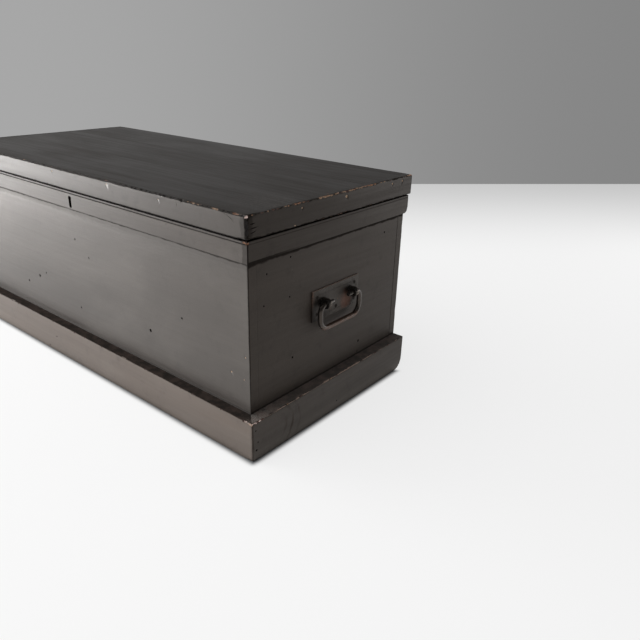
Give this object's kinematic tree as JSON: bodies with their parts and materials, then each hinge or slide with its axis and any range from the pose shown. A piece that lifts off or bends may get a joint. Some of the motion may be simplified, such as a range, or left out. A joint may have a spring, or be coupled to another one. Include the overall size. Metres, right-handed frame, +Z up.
{
  "type": "painted blanket chest",
  "caption": "Long painted wooden chest with a lift-up lid, a plinth, a beaded rim band, an inside lock with a bare keyhole and an iron drop handle on each end.",
  "frame": {"origin": "on the floor under the middle of the four walls", "axes": "+X along the chest towards its right end, -Y out of the front with the keyhole, +Z up"},
  "size_m": [1.034, 0.4925, 0.441],
  "materials": {
    "painted_pine": "worn satin paint",
    "bare_pine": "aged, unpainted",
    "handle_iron": "dark, lightly rusted",
    "hinge_iron": "dark, dull",
    "lock_iron": "dull, greased",
    "steel_fasteners": "dull, tarnished"
  },
  "bodies": {
    "chest": {"back_board": "painted_pine", "band_nails": "steel_fasteners", "bearer_left": "bare_pine", "bearer_middle": "bare_pine", "bearer_nails": "steel_fasteners", "bearer_right": "bare_pine", "bottom_board_back": "bare_pine", "bottom_board_front": "bare_pine", "bottom_board_middle": "bare_pine", "bottom_nails": "steel_fasteners", "chest_hinge_screws": "steel_fasteners", "corner_nails": "steel_fasteners", "front_board": "painted_pine", "handle_screws": "steel_fasteners", "left_end_board": "painted_pine", "left_handle_lugs": "handle_iron", "left_handle_plate": "handle_iron", "left_hinge_chest_leaf": "hinge_iron", "left_hinge_pin": "hinge_iron", "lock_cap": "lock_iron", "lock_case": "lock_iron", "lock_key_pin": "lock_iron", "lock_screws": "steel_fasteners", "lock_spring": "steel_fasteners", "lock_studs": "lock_iron", "plinth_front": "painted_pine", "plinth_left": "painted_pine", "plinth_nails": "steel_fasteners", "plinth_right": "painted_pine", "right_end_board": "painted_pine", "right_handle_lugs": "handle_iron", "right_handle_plate": "handle_iron", "right_hinge_chest_leaf": "hinge_iron", "right_hinge_pin": "hinge_iron", "rim_band_front": "painted_pine", "rim_band_left": "painted_pine", "rim_band_right": "painted_pine"},
    "lid": {"batten_screws": "steel_fasteners", "left_hinge_lid_leaf": "hinge_iron", "lid_batten_left": "bare_pine", "lid_batten_right": "bare_pine", "lid_board_back": "painted_pine", "lid_board_front": "painted_pine", "lid_board_middle": "painted_pine", "lid_edging_front": "painted_pine", "lid_edging_left": "painted_pine", "lid_edging_nails": "steel_fasteners", "lid_edging_right": "painted_pine", "lid_hinge_screws": "steel_fasteners", "link_plate": "lock_iron", "link_screws": "steel_fasteners", "right_hinge_lid_leaf": "hinge_iron"},
    "right_bail": {"right_bail": "handle_iron"},
    "left_bail": {"left_bail": "handle_iron"},
    "lock_bolt": {"lock_bolt": "lock_iron"}
  },
  "joints": [
    {"name": "lid_hinge", "type": "hinge", "parent": "chest", "child": "lid", "pos_m": [0, 0.2355, 0.4209], "axis": [-1, 0, 0], "range_deg": [0, 100]},
    {"name": "right_bail_swing", "type": "hinge", "parent": "chest", "child": "right_bail", "pos_m": [0.5065, 0.002, 0.237], "axis": [0, -1, 0], "range_deg": [0, 180]},
    {"name": "left_bail_swing", "type": "hinge", "parent": "chest", "child": "left_bail", "pos_m": [-0.5065, -0.002, 0.237], "axis": [0, 1, 0], "range_deg": [0, 180]},
    {"name": "lock_bolt_slide", "type": "slide", "parent": "chest", "child": "lock_bolt", "axis": [1, 0, 0], "range_m": [0, 0.006]}
  ]
}
